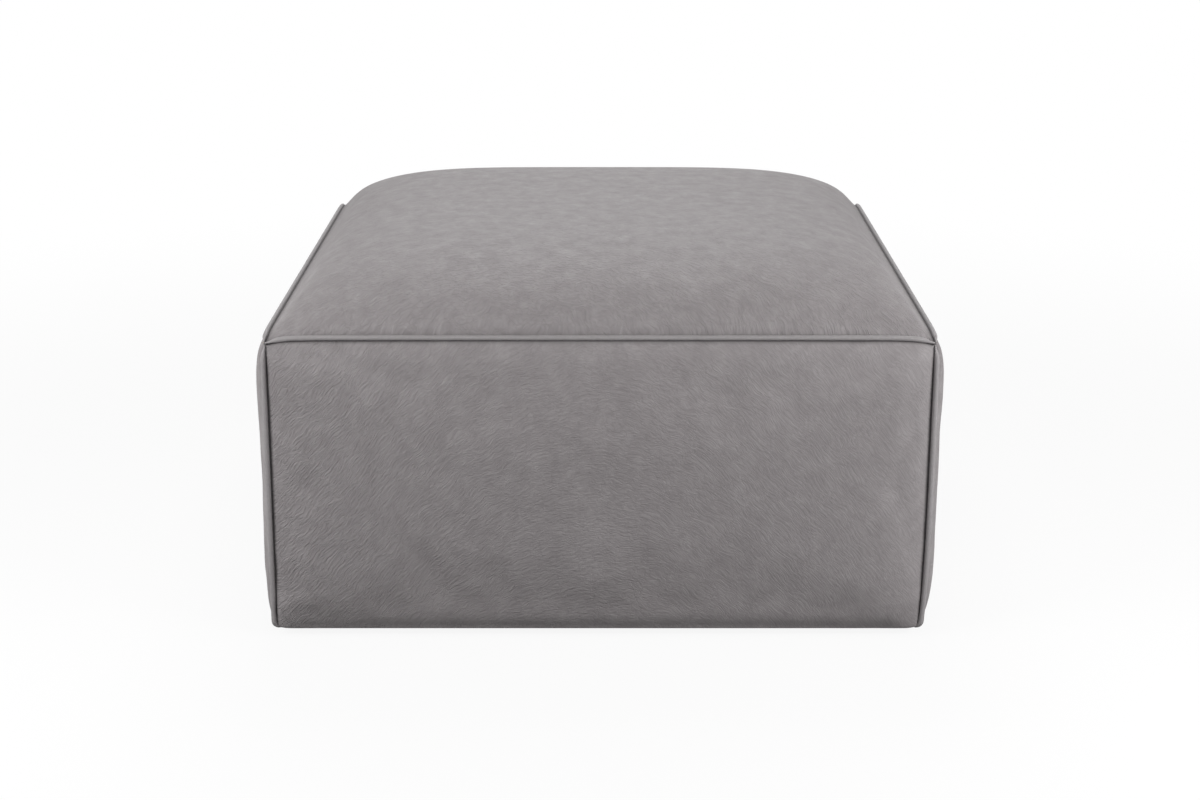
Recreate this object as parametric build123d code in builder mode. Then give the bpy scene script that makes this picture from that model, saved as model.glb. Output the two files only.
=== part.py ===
"""Square upholstered footstool: a timber frame with webbing, a crowned seat and piped leather panels.

Frame: +Z up, the front faces -Y, and the origin is on the floor under the middle of the stool.
All lengths are in millimetres.
"""

from build123d import *
from math import atan, cos, sin
import os

os.makedirs("parts", exist_ok=True)

# Overall form, measured along the seams
seam_width = 760.0
seam_depth = 760.0
side_height = 352.0
crown_height = 82.0
crown_run = 106.0
side_puff = 19.0
side_run = 50.0

# Leather and piping
leather_thickness = 1.4
hem_width = 30.0
piping_radius = 3.0
piping_wall = 1.0
cord_clearance = 0.1
seam_clearance = 0.3
mitre_clearance = 0.2

# Padding
soft_clearance = 0.3
pad_thickness = 14.0
foam_depth = 95.0
foam_drop = 12.0
fibre_depth = 12.0
insulator_thickness = 3.0
insulator_margin = 12.0

# Webbing
strap_width = 60.0
strap_thickness = 1.6
strap_pitch = 130.0
strap_clearance = 0.2
strap_land = 6.0
strap_fold = 18.0
strap_end_margin = 4.0

# Timber frame
board_thickness = 4.0
post_side = 42.0
rail_thickness = 22.0
rail_height = 60.0
tenon_length = 22.0
tenon_thickness = 10.0
tenon_shoulder = 10.0
brace_tenon_length = 12.0
joint_clearance = 0.15
block_leg = 110.0
block_height = 40.0
block_drop = 8.0

# Underside
glide_height = 8.0
glide_radius = 20.0
glide_edge = 1.5
glide_recess = 3.0
nail_side = 3.0
nail_head_radius = 5.0
nail_head_height = 1.5
nail_bite = 24.0
nail_clearance = 0.1
dust_cover_thickness = 0.8
dust_cover_margin = 12.0

# Overrun for cuts that leave the material
overrun = 5.0

# The shape of a puffed panel, as shares of its crown
crown_rise_share = 0.895
side_rise_share = 0.92
edge_rise_share = 0.02

# Bands over each shoulder of a puffed panel's loft
crown_bands = 5
side_bands = 4

# Levels above the floor
hem_base = glide_height + dust_cover_thickness + soft_clearance
frame_base = hem_base + leather_thickness + soft_clearance
seam_level = hem_base + side_height
foam_shoulder = seam_level - foam_drop
foam_bevel = crown_height - fibre_depth
foam_base = foam_shoulder - foam_depth
insulator_base = foam_base - soft_clearance - insulator_thickness
weave_height = 2 * strap_thickness + strap_clearance
deck_level = insulator_base - soft_clearance - weave_height
top_rail_base = deck_level - rail_height

# Insets from the seam planes, going in
piping_inset = piping_radius + seam_clearance
lining_inset = piping_inset + leather_thickness + soft_clearance
board_inset = pad_thickness
frame_inset = board_inset + board_thickness
post_inset = frame_inset + post_side
rail_inset = frame_inset + rail_thickness

# Each side by name: its outward direction, the length of its seam and the distance of its seam
side_faces = {
    "front": (Vector(0, -1, 0), seam_width, seam_depth / 2),
    "right": (Vector(1, 0, 0), seam_depth, seam_width / 2),
    "back": (Vector(0, 1, 0), seam_width, seam_depth / 2),
    "left": (Vector(-1, 0, 0), seam_depth, seam_width / 2),
}

# Each corner by name, with its signs along X and Y
corners = {
    "front_left": (-1, -1),
    "front_right": (1, -1),
    "back_right": (1, 1),
    "back_left": (-1, 1),
}


def side_plane(side, inset):
    """The plane that faces out of a side, behind its seam plane by the inset, with local y up."""
    outward, length, reach = side_faces[side]
    return Plane(origin=outward * (reach - inset), x_dir=Vector(0, 0, 1).cross(outward), z_dir=outward)


def corner_point(corner, inset, level):
    """The point at a corner that lies in from both seam planes by the inset."""
    sign_x, sign_y = corners[corner]
    return Vector(sign_x * (seam_width / 2 - inset), sign_y * (seam_depth / 2 - inset), level)


def finish(name, part):
    """Labels a finished piece and writes it."""
    part.label = name
    export_step(part, f"parts/{name}.step")
    print(name, "solids", len(part.solids()), "volume", round(part.volume))


def crown_stations(depth, crown, run, rise_share, bands):
    """Steps over both shoulders of a puffed form: each one's distance from the edge, and its height."""
    full_run = run / rise_share
    radius = (full_run**2 + crown**2) / (2 * crown)
    sweep_angle = 2 * atan(crown / full_run)
    shoulder = []
    for band in range(bands + 1):
        angle = sweep_angle * (1 - band / bands)
        height = crown - radius * (1 - cos(angle))
        raised = edge_rise_share * crown + height * (1 - edge_rise_share)
        shoulder.append((full_run - radius * sin(angle), raised))
    return shoulder + [(depth - distance, height) for distance, height in reversed(shoulder)]


def puffed_solid(base, width, depth, crown, run, rise_share, bands, lip):
    """A block with a crowned face: the lip lies behind the base plane, and the crown stands on it."""
    with BuildPart() as form:
        for distance, height in crown_stations(depth, crown, run, rise_share, bands):
            place = base.from_local_coords(Vector(0, distance - depth / 2, 0))
            shoulder = rise_share * height
            with BuildSketch(Plane(origin=place, x_dir=base.x_dir, z_dir=-base.y_dir)):
                with BuildLine():
                    Polyline((-width / 2, 0), (-width / 2, -lip), (width / 2, -lip), (width / 2, 0))
                    top = ThreePointArc((width / 2 - run, shoulder), (0, height), (run - width / 2, shoulder))
                    TangentArc(top @ 0, (width / 2, 0), tangent=-(top % 0))
                    TangentArc(top @ 1, (-width / 2, 0), tangent=top % 1)
                make_face()
        loft(ruled=True)
    return form.part


def make_top_panel():
    """The crowned top, one skin of leather inside the piping."""
    width = seam_width - 2 * piping_inset
    depth = seam_depth - 2 * piping_inset
    skin = 2 * leather_thickness
    outer = puffed_solid(
        Plane.XY.offset(seam_level + leather_thickness),
        width, depth, crown_height, crown_run, crown_rise_share, crown_bands, leather_thickness,
    )
    inner = puffed_solid(
        Plane.XY.offset(seam_level),
        width - skin, depth - skin, crown_height, crown_run, crown_rise_share, crown_bands, overrun,
    )
    with BuildPart() as top_panel:
        add(outer)
        add(inner, mode=Mode.SUBTRACT)
    finish("top_panel", top_panel.part)


def make_side_panel(side):
    """A puffed side of leather, turned under the frame at its foot in a mitred hem."""
    outward, length, reach = side_faces[side]
    width = length - 2 * piping_inset
    height = side_height - piping_inset
    skin = 2 * leather_thickness
    middle = hem_base + height / 2
    face = side_plane(side, 0)
    centred = Plane(origin=face.from_local_coords(Vector(0, middle, 0)), x_dir=face.x_dir, z_dir=face.z_dir)
    outer = puffed_solid(
        centred.offset(leather_thickness),
        width, height, side_puff, side_run, side_rise_share, side_bands, leather_thickness,
    )
    inner = puffed_solid(
        centred, width - skin, height - skin, side_puff, side_run, side_rise_share, side_bands, overrun,
    )
    hem_plane = Plane(
        origin=Vector(0, 0, hem_base) + outward * reach,
        x_dir=face.x_dir,
        z_dir=Vector(0, 0, 1),
    )
    with BuildPart() as panel:
        add(outer)
        add(inner, mode=Mode.SUBTRACT)
        with BuildSketch(hem_plane):
            with BuildLine():
                Polyline(
                    (-width / 2, 0),
                    (-width / 2, -leather_thickness),
                    (width / 2, -leather_thickness),
                    (width / 2, 0),
                    (width / 2 - hem_width, hem_width),
                    (hem_width - width / 2, hem_width),
                    close=True,
                )
            make_face()
        extrude(amount=leather_thickness)
    finish(f"{side}_panel", panel.part)


def piping_run(start, end, radius, bore, ends):
    """A straight round run between two corners, hollow by the bore, cut by a plane at each end."""
    along = (end - start).normalized()
    with BuildPart() as run:
        with BuildSketch(Plane(origin=start - along * overrun, z_dir=along)):
            Circle(radius)
            if bore:
                Circle(bore, mode=Mode.SUBTRACT)
        extrude(amount=(end - start).length + 2 * overrun)
        for cut in ends:
            split(bisect_by=cut, keep=Keep.BOTTOM)
    return run.part


def top_piping(side, radius, bore):
    """The run along one side of the top, mitred to its neighbours."""
    outward, length, reach = side_faces[side]
    across = side_plane(side, 0).x_dir
    middle = Vector(0, 0, seam_level) + outward * reach
    start = middle - across * (length / 2)
    end = middle + across * (length / 2)
    ends = [
        Plane(origin=start + across * mitre_clearance, z_dir=-across - outward),
        Plane(origin=end - across * mitre_clearance, z_dir=across - outward),
    ]
    return piping_run(start, end, radius, bore, ends)


def corner_piping(corner, radius, bore):
    """The upright run down one corner, from under the top piping to the hem."""
    foot = corner_point(corner, 0, hem_base)
    head = corner_point(corner, 0, seam_level - piping_inset)
    ends = [
        Plane(origin=foot, z_dir=Vector(0, 0, -1)),
        Plane(origin=head, z_dir=Vector(0, 0, 1)),
    ]
    return piping_run(foot, head, radius, bore, ends)


def make_pipings():
    """The leather tubes along every seam, and the cords inside them."""
    bore = piping_radius - piping_wall
    cord_radius = bore - cord_clearance
    cords = []
    for side in side_faces:
        finish(f"top_piping_{side}", top_piping(side, piping_radius, bore))
        cords.append(top_piping(side, cord_radius, 0))
    for corner in corners:
        finish(f"corner_piping_{corner}", corner_piping(corner, piping_radius, bore))
        cords.append(corner_piping(corner, cord_radius, 0))
    with BuildPart() as piping_cords:
        for cord in cords:
            add(cord)
    finish("piping_cords", piping_cords.part)


def foam_block(grow):
    """The foam of the seat, bevelled all round its top, grown by a clearance for the hollow over it."""
    width = seam_width - 2 * (board_inset + soft_clearance - grow)
    depth = seam_depth - 2 * (board_inset + soft_clearance - grow)
    with BuildPart() as block:
        with BuildSketch(Plane.XY.offset(foam_base)):
            Rectangle(width, depth)
        extrude(amount=foam_depth + foam_bevel + grow)
        chamfer(block.faces().sort_by(Axis.Z)[-1].edges(), length=foam_bevel)
    return block.part


def make_seat_padding():
    """The bevelled foam block and the fibre wrap that crowns it."""
    foam = foam_block(0)
    hollow = foam_block(soft_clearance)
    wrap_base = seam_level - lining_inset + soft_clearance
    wrap_shoulder = seam_level - soft_clearance
    wrap = puffed_solid(
        Plane.XY.offset(wrap_shoulder),
        seam_width - 2 * lining_inset, seam_depth - 2 * lining_inset,
        crown_height, crown_run, crown_rise_share, crown_bands, wrap_shoulder - wrap_base,
    )
    with BuildPart() as seat_foam:
        add(foam)
    finish("seat_foam", seat_foam.part)
    with BuildPart() as seat_fibre_wrap:
        add(wrap)
        add(hollow, mode=Mode.SUBTRACT)
    finish("seat_fibre_wrap", seat_fibre_wrap.part)


def make_side_pad(side):
    """The pad between a side board and its leather, the front and back ones wrapping the corners."""
    outward, length, _ = side_faces[side]
    wraps_corners = outward.X == 0
    end_inset = lining_inset if wraps_corners else board_inset + soft_clearance
    top = seam_level - lining_inset
    height = top - frame_base
    face = side_plane(side, soft_clearance)
    centred = Plane(
        origin=face.from_local_coords(Vector(0, frame_base + height / 2, 0)),
        x_dir=face.x_dir,
        z_dir=face.z_dir,
    )
    lip = pad_thickness - 2 * soft_clearance
    pad = puffed_solid(
        centred, length - 2 * end_inset, height, side_puff, side_run, side_rise_share, side_bands, lip,
    )
    with BuildPart() as side_pad:
        add(pad)
    finish(f"{side}_pad", side_pad.part)


def make_insulator():
    """The felt sheet that keeps the foam out of the webbing."""
    with BuildPart() as insulator_sheet:
        with BuildSketch(Plane.XY.offset(insulator_base)):
            Rectangle(
                seam_width - 2 * (board_inset + insulator_margin),
                seam_depth - 2 * (board_inset + insulator_margin),
            )
        extrude(amount=insulator_thickness)
    finish("insulator_sheet", insulator_sheet.part)


def strap_places(run):
    """Where the straps lie across a run of rail, at the pitch and centred."""
    room = run - 2 * rail_inset - strap_width
    steps = int(room // strap_pitch)
    return [strap_pitch * (step - steps / 2) for step in range(steps + 1)]


def strap_profile(reach, crossings, first_over):
    """The underside of one strap from rail to rail, as distance and level, over and under in turn."""
    end = reach - frame_inset - strap_end_margin
    inner = reach - rail_inset
    low = deck_level
    high = deck_level + strap_thickness + strap_clearance
    land = strap_width / 2 + strap_land
    points = [(-end, low), (-inner, low)]
    for index, crossing in enumerate(crossings):
        level = high if (index + first_over) % 2 else low
        points.append((crossing - land, level))
        points.append((crossing + land, level))
    return points + [(inner, low), (end, low)]


def make_webbing(name, plane_for, places, crossings, reach, first_over):
    """One layer of straps, woven over and under the straps that cross them."""
    with BuildPart() as webbing:
        for index, place in enumerate(places):
            under = strap_profile(reach, crossings, index + first_over)
            over = [(distance, level + strap_thickness) for distance, level in reversed(under)]
            fold_end = under[-1][0]
            fold_level = deck_level + strap_thickness
            with BuildSketch(plane_for(place)):
                with BuildLine():
                    Polyline(*under, *over, close=True)
                make_face()
                for start in (-fold_end, fold_end - strap_fold):
                    with Locations((start, fold_level)):
                        Rectangle(strap_fold, strap_thickness, align=Align.MIN)
            extrude(amount=strap_width / 2, both=True)
    finish(name, webbing.part)


def make_suspension():
    """The two woven layers of elastic webbing on the top rails."""
    across = strap_places(seam_width)
    along = strap_places(seam_depth)
    make_webbing(
        "webbing_lengthways",
        lambda place: Plane(origin=(place, 0, 0), x_dir=(0, 1, 0), z_dir=(1, 0, 0)),
        across, along, seam_depth / 2, 0,
    )
    make_webbing(
        "webbing_crossways",
        lambda place: Plane(origin=(0, place, 0), x_dir=(1, 0, 0), z_dir=(0, -1, 0)),
        along, across, seam_width / 2, 1,
    )


def tenon_bar(side, base, clearance):
    """The bar whose ends are the tenons of a rail, grown by a clearance for their mortises."""
    _, length, _ = side_faces[side]
    inset = frame_inset + (rail_thickness - tenon_thickness) / 2 - clearance
    face = side_plane(side, inset)
    tenon_height = rail_height - 2 * tenon_shoulder
    with BuildPart() as bar:
        with BuildSketch(face):
            with Locations((0, base + rail_height / 2)):
                Rectangle(
                    length - 2 * (post_inset - tenon_length - clearance),
                    tenon_height + 2 * clearance,
                )
        extrude(amount=-(tenon_thickness + 2 * clearance))
    return bar.part


def brace_bar(clearance):
    """The bar whose ends are the tenons of the base brace, grown by a clearance for their mortises."""
    tenon_height = rail_height - 2 * tenon_shoulder
    reach = seam_depth / 2 - rail_inset + brace_tenon_length + clearance
    with BuildPart() as bar:
        with BuildSketch(Plane.XZ):
            with Locations((0, frame_base + rail_height / 2)):
                Rectangle(tenon_thickness + 2 * clearance, tenon_height + 2 * clearance)
        extrude(amount=reach, both=True)
    return bar.part


def make_rail(name, side, base, braced):
    """A rail between two posts, tenoned into both."""
    _, length, _ = side_faces[side]
    tenons = tenon_bar(side, base, 0)
    mortises = brace_bar(joint_clearance)
    with BuildPart() as rail:
        with BuildSketch(side_plane(side, frame_inset)):
            with Locations((0, base + rail_height / 2)):
                Rectangle(length - 2 * post_inset, rail_height)
        extrude(amount=-rail_thickness)
        add(tenons)
        if braced:
            add(mortises, mode=Mode.SUBTRACT)
    finish(name, rail.part)


def make_corner_posts():
    """The four posts, with a mortise for each rail and a bore for the nail of the glide."""
    bars = []
    for side in side_faces:
        bars.append(tenon_bar(side, frame_base, joint_clearance))
        bars.append(tenon_bar(side, top_rail_base, joint_clearance))
    for corner in corners:
        with BuildPart() as post:
            centre = corner_point(corner, frame_inset + post_side / 2, frame_base)
            with BuildSketch(Plane(origin=centre)):
                Rectangle(post_side, post_side)
            extrude(amount=deck_level - frame_base)
            for bar in bars:
                add(bar, mode=Mode.SUBTRACT)
            with BuildSketch(Plane(origin=centre)):
                Rectangle(nail_side + 2 * nail_clearance, nail_side + 2 * nail_clearance)
            extrude(amount=nail_bite + nail_clearance, mode=Mode.SUBTRACT)
        finish(f"corner_post_{corner}", post.part)


def make_base_brace():
    """The brace from the front to the back bottom rail."""
    tenons = brace_bar(0)
    with BuildPart() as base_brace:
        with BuildSketch(Plane.XZ):
            with Locations((0, frame_base + rail_height / 2)):
                Rectangle(rail_thickness, rail_height)
        extrude(amount=seam_depth / 2 - rail_inset, both=True)
        add(tenons)
    finish("base_brace", base_brace.part)


def make_upright(side):
    """The short stud between the two rails of a side, behind the middle of its board."""
    base = frame_base + rail_height
    with BuildPart() as upright:
        with BuildSketch(side_plane(side, frame_inset)):
            with Locations((0, (base + top_rail_base) / 2)):
                Rectangle(rail_height, top_rail_base - base)
        extrude(amount=-rail_thickness)
    finish(f"{side}_upright", upright.part)


def make_side_board(side):
    """The thin board that closes one side of the frame and backs its pad."""
    outward, length, _ = side_faces[side]
    wraps_corners = outward.X == 0
    end_inset = board_inset if wraps_corners else frame_inset
    with BuildPart() as board:
        with BuildSketch(side_plane(side, board_inset)):
            with Locations((0, (frame_base + deck_level) / 2)):
                Rectangle(length - 2 * end_inset, deck_level - frame_base)
        extrude(amount=-board_thickness)
    finish(f"{side}_board", board.part)


def make_corner_blocks():
    """The triangular blocks glued into the corners of the top rails, notched round the posts."""
    base = deck_level - block_drop - block_height
    with BuildPart() as corner_blocks:
        for corner, (sign_x, sign_y) in corners.items():
            step = post_inset - rail_inset
            edge = corner_point(corner, rail_inset, base)
            with BuildSketch(Plane(origin=edge)):
                with BuildLine():
                    Polyline(
                        (0, -sign_y * step),
                        (-sign_x * step, -sign_y * step),
                        (-sign_x * step, 0),
                        (-sign_x * block_leg, 0),
                        (0, -sign_y * block_leg),
                        close=True,
                    )
                make_face()
            extrude(amount=block_height)
    finish("corner_blocks", corner_blocks.part)


def make_glides():
    """The four glides under the posts, and the square-shanked nails that hold them."""
    with BuildPart() as glides:
        for corner in corners:
            centre = corner_point(corner, frame_inset + post_side / 2, 0)
            with BuildSketch(Plane(origin=centre)):
                Circle(glide_radius)
            extrude(amount=glide_height)
        feet = glides.faces().filter_by(Axis.Z).group_by(Axis.Z)[0]
        chamfer(feet.edges(), length=glide_edge)
        for corner in corners:
            centre = corner_point(corner, frame_inset + post_side / 2, 0)
            with BuildSketch(Plane(origin=centre)):
                Circle(nail_head_radius + nail_clearance)
            extrude(amount=glide_recess, mode=Mode.SUBTRACT)
            with BuildSketch(Plane(origin=centre)):
                Rectangle(nail_side + 2 * nail_clearance, nail_side + 2 * nail_clearance)
            extrude(amount=glide_height, mode=Mode.SUBTRACT)
    finish("glides", glides.part)
    with BuildPart() as glide_nails:
        for corner in corners:
            seat = corner_point(corner, frame_inset + post_side / 2, glide_recess)
            with BuildSketch(Plane(origin=seat)):
                Circle(nail_head_radius)
            extrude(amount=-nail_head_height)
            with BuildSketch(Plane(origin=seat)):
                Rectangle(nail_side, nail_side)
            extrude(amount=frame_base + nail_bite - glide_recess)
    finish("glide_nails", glide_nails.part)


def make_dust_cover():
    """The thin cloth stapled over the hems, pierced by the nails of the glides."""
    with BuildPart() as dust_cover:
        with BuildSketch(Plane.XY.offset(glide_height)):
            Rectangle(seam_width - 2 * dust_cover_margin, seam_depth - 2 * dust_cover_margin)
            for corner in corners:
                centre = corner_point(corner, frame_inset + post_side / 2, 0)
                with Locations((centre.X, centre.Y)):
                    Rectangle(
                        nail_side + 2 * nail_clearance,
                        nail_side + 2 * nail_clearance,
                        mode=Mode.SUBTRACT,
                    )
        extrude(amount=dust_cover_thickness)
    finish("dust_cover", dust_cover.part)


make_top_panel()
for side in side_faces:
    make_side_panel(side)
    make_side_pad(side)
    make_side_board(side)
    make_upright(side)
    braced = side in ("front", "back")
    make_rail(f"bottom_rail_{side}", side, frame_base, braced)
    make_rail(f"top_rail_{side}", side, top_rail_base, False)
make_pipings()
make_seat_padding()
make_insulator()
make_suspension()
make_corner_posts()
make_base_brace()
make_corner_blocks()
make_glides()
make_dust_cover()
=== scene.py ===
"""Looks for the square upholstered footstool: leather, piping, padding, frame, underside and studio.

Every length is in metres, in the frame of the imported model: +Z up, the front faces -Y.
"""

import logging
import math
from dataclasses import dataclass, field
from enum import Enum
from functools import partial
from typing import Any, Protocol

import bpy
import numpy as np
from bpy.types import ID, Material, Mesh, Node, NodeSocket, NodeTree, Object
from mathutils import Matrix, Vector


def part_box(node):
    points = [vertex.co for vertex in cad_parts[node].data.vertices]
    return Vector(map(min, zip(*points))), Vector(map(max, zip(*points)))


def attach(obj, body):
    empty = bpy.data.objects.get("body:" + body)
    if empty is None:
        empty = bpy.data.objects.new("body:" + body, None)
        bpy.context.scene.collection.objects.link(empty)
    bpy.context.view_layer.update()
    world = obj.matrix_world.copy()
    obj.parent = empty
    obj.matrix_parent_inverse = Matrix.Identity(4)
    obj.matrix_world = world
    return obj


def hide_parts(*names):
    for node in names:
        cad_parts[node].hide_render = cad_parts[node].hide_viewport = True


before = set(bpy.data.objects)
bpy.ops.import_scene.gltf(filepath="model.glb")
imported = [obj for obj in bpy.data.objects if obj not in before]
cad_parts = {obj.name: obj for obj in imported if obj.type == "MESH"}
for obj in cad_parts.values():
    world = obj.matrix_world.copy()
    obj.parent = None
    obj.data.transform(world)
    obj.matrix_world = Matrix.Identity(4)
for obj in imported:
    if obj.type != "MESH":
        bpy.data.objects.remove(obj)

MM = 0.001
LOG = logging.getLogger("footstool")


# Shared types


class Side(Enum):
    """The four upright sides, each with its outward direction in plan."""

    FRONT = (0.0, -1.0)
    RIGHT = (1.0, 0.0)
    BACK = (0.0, 1.0)
    LEFT = (-1.0, 0.0)

    @property
    def label(self) -> str:
        """The side's name as the CAD nodes have it."""
        return self.name.lower()

    @property
    def outward(self) -> np.ndarray:
        """The unit vector that points out of the side."""
        return np.array([self.value[0], self.value[1], 0.0])

    @property
    def across(self) -> np.ndarray:
        """The unit vector that points to the right for someone who faces the side."""
        return np.array([-self.value[1], self.value[0], 0.0])


class Corner(Enum):
    """The four corners, each with its signs along X and Y."""

    FRONT_LEFT = (-1.0, -1.0)
    FRONT_RIGHT = (1.0, -1.0)
    BACK_RIGHT = (1.0, 1.0)
    BACK_LEFT = (-1.0, 1.0)

    @property
    def label(self) -> str:
        """The corner's name as the CAD nodes have it."""
        return self.name.lower()


class Grain(Enum):
    """The direction that the grain of a piece of timber runs in."""

    ALONG_X = 0
    ALONG_Y = 1
    ALONG_Z = 2


class Finish(Protocol):
    """A finish that can make its own material."""

    slot: str

    def material(self) -> Material:
        """Builds the finish's material."""


# Small helpers


def linear(hex_colour: str) -> tuple[float, float, float, float]:
    """Turns an sRGB hex colour into the linear colour that a shader takes.

    Args:
        hex_colour: The colour as #rrggbb.

    Returns:
        Red, green, blue and an alpha of one.
    """
    parts = [int(hex_colour[i : i + 2], 16) / 255 for i in (1, 3, 5)]
    red, green, blue = [p / 12.92 if p <= 0.04045 else ((p + 0.055) / 1.055) ** 2.4 for p in parts]
    return (red, green, blue, 1.0)


def fill_inputs(tree: NodeTree, node: Node, inputs: dict[str | int, Any]) -> None:
    """Gives a node's inputs their values, or links them to other nodes' outputs."""
    for key, value in inputs.items():
        if isinstance(value, NodeSocket):
            tree.links.new(value, node.inputs[key])
        else:
            node.inputs[key].default_value = value


def add_node(
    tree: NodeTree,
    kind: str,
    inputs: dict[str | int, Any] | None = None,
    **settings: Any,
) -> Node:
    """Adds a node, sets its properties and fills its inputs.

    Args:
        tree: The tree that gets the node.
        kind: The node's type name.
        inputs: A value, or another node's output, for each input by name or index.
        settings: The node's own properties.

    Returns:
        The new node.
    """
    node = tree.nodes.new(kind)
    for name, value in settings.items():
        setattr(node, name, value)
    fill_inputs(tree, node, inputs or {})
    return node


def blank_material(name: str) -> tuple[Material, NodeTree, Node]:
    """Makes a material that holds one Principled shader.

    Args:
        name: The material's name.

    Returns:
        The material, its node tree and its shader.
    """
    material = bpy.data.materials.new(name)
    material.use_nodes = True
    tree = material.node_tree
    return material, tree, tree.nodes["Principled BSDF"]


def link_object(name: str, data: ID) -> Object:
    """Makes an object from its data and links it into the scene."""
    made = bpy.data.objects.new(name, data)
    bpy.context.scene.collection.objects.link(made)
    return made


def place_object(name: str, mesh: Mesh, material: Material) -> Object:
    """Links a mesh into the scene at the origin, shaded smooth and with one material."""
    mesh.materials.clear()
    mesh.materials.append(material)
    mesh.shade_smooth()
    return link_object(name, mesh)


def report_piece(piece: Object, slot: str, *nodes: str) -> Object:
    """Hands a finished piece to the frame and logs it.

    Args:
        piece: The finished object.
        slot: The material slot of its finish; not used.
        nodes: The CAD nodes that it stands for.

    Returns:
        The same object.
    """
    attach(piece, "root")
    if nodes:
        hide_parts(*nodes)
    LOG.info("%s: %d faces for %s", piece.name, len(piece.data.polygons), ", ".join(nodes) or "itself")
    return piece


def dress_node(node: str, finish: Finish, material: Material) -> None:
    """Gives a CAD node that keeps its shape its material."""
    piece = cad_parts[node]
    piece.data.materials.clear()
    piece.data.materials.append(material)
    LOG.info("%s: dressed as %s", node, material.name)


def grid_faces(rows: int, columns: int) -> list[tuple[int, int, int, int]]:
    """The quads of a grid whose points run along its rows, facing the viewer who sees the rows rise."""
    return [
        (row * columns + column, row * columns + column + 1,
         (row + 1) * columns + column + 1, (row + 1) * columns + column)
        for row in range(rows - 1)
        for column in range(columns - 1)
    ]


def grid_mesh(name: str, points: np.ndarray) -> Mesh:
    """Makes a mesh of quads from a grid of points.

    Args:
        name: The mesh's name.
        points: Rows by columns by three.

    Returns:
        The open mesh.
    """
    rows, columns, _ = points.shape
    mesh = bpy.data.meshes.new(name)
    mesh.from_pydata(points.reshape(-1, 3).tolist(), [], grid_faces(rows, columns))
    mesh.update()
    return mesh


def closed_body(name: str, outer: np.ndarray, inner: np.ndarray) -> Mesh:
    """Makes a closed mesh between two grids of the same shape, joined round their edges.

    Args:
        name: The mesh's name.
        outer: The grid that faces out, rows by columns by three.
        inner: The grid behind it.

    Returns:
        The closed mesh.
    """
    rows, columns, _ = outer.shape
    count = rows * columns
    front = grid_faces(rows, columns)
    back = [tuple(count + corner for corner in reversed(face)) for face in front]
    rim = list(range(columns))
    rim += [row * columns + columns - 1 for row in range(1, rows)]
    rim += [(rows - 1) * columns + column for column in reversed(range(columns - 1))]
    rim += [row * columns for row in reversed(range(1, rows - 1))]
    sides = [
        (rim[i], rim[i] + count, rim[(i + 1) % len(rim)] + count, rim[(i + 1) % len(rim)])
        for i in range(len(rim))
    ]
    mesh = bpy.data.meshes.new(name)
    both = np.concatenate([outer.reshape(-1, 3), inner.reshape(-1, 3)])
    mesh.from_pydata(both.tolist(), [], front + back + sides)
    mesh.update()
    return mesh


def solid_piece(
    name: str,
    grids: tuple[np.ndarray, np.ndarray],
    finish: Finish,
    material: Material,
    node: str,
) -> Object:
    """finish: The finish, whose slot is handed on but not used.

    Args:
        name: The piece's name.
        grids: The grid that faces out and the one behind it.
        finish: The finish that gives its slot.
        material: The finish's material.
        node: The CAD node that it stands for.

    Returns:
        The finished object.
    """
    return report_piece(place_object(name, closed_body(name, *grids), material), finish.slot, node)


def grid_normals(points: np.ndarray) -> np.ndarray:
    """The unit normal at each point of a grid."""
    along = np.gradient(points, axis=1)
    up = np.gradient(points, axis=0)
    normals = np.cross(along, up)
    return normals / np.maximum(np.linalg.norm(normals, axis=2, keepdims=True), 1e-12)


def graded(count: int, share: float) -> np.ndarray:
    """Places from -1 to 1 that draw together towards both ends by the share."""
    even = np.linspace(-1.0, 1.0, count + 1)
    return (1 - share) * even + share * np.sin(even * math.pi / 2)


def seamed(run: np.ndarray, half: float, rings: tuple[float, ...]) -> np.ndarray:
    """Adds close rings inside both ends of a run, and a last one on each end for the edge that turns in.

    Args:
        run: Places from -1 to 1.
        half: Half the length that the run stands for.
        rings: Distances of the rings from the seam.

    Returns:
        The places, with the first and last ones doubled.
    """
    close = np.array(rings) / half
    inner = run[np.abs(run) < 1 - 1.6 * close.max()]
    return np.concatenate([[-1.0, -1.0], close - 1, inner, (1 - close)[::-1], [1.0, 1.0]])


def softened(values: np.ndarray, reach: int) -> np.ndarray:
    """A grid of numbers averaged with its neighbours, twice over, as far as the reach."""
    kernel = np.ones(2 * reach + 1) / (2 * reach + 1)
    for _ in range(2):
        for axis in (0, 1):
            padded = np.pad(values, [(reach, reach) if a == axis else (0, 0) for a in (0, 1)], mode="edge")
            values = np.apply_along_axis(lambda line: np.convolve(line, kernel, mode="valid"), axis, padded)
    return values


# Finishes


def two_toned(
    tree: NodeTree,
    shader: Node,
    share: NodeSocket,
    colours: tuple[str, str],
    relief: dict[str, Any],
    values: dict[str, float],
) -> None:
    """Mixes a shader's colour from two and gives it its relief and other values.

    Args:
        tree: The material's tree.
        shader: The material's shader.
        share: The share of the second colour.
        colours: The two colours as #rrggbb.
        relief: The strength, distance and height of the relief.
        values: The shader's other inputs.
    """
    colour = add_node(tree, "ShaderNodeMix", {
        "Factor": share, 6: linear(colours[0]), 7: linear(colours[1]),
    }, data_type="RGBA").outputs[2]
    normal = add_node(tree, "ShaderNodeBump", relief).outputs["Normal"]
    fill_inputs(tree, shader, {"Base Color": colour, "Normal": normal} | values)


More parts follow.
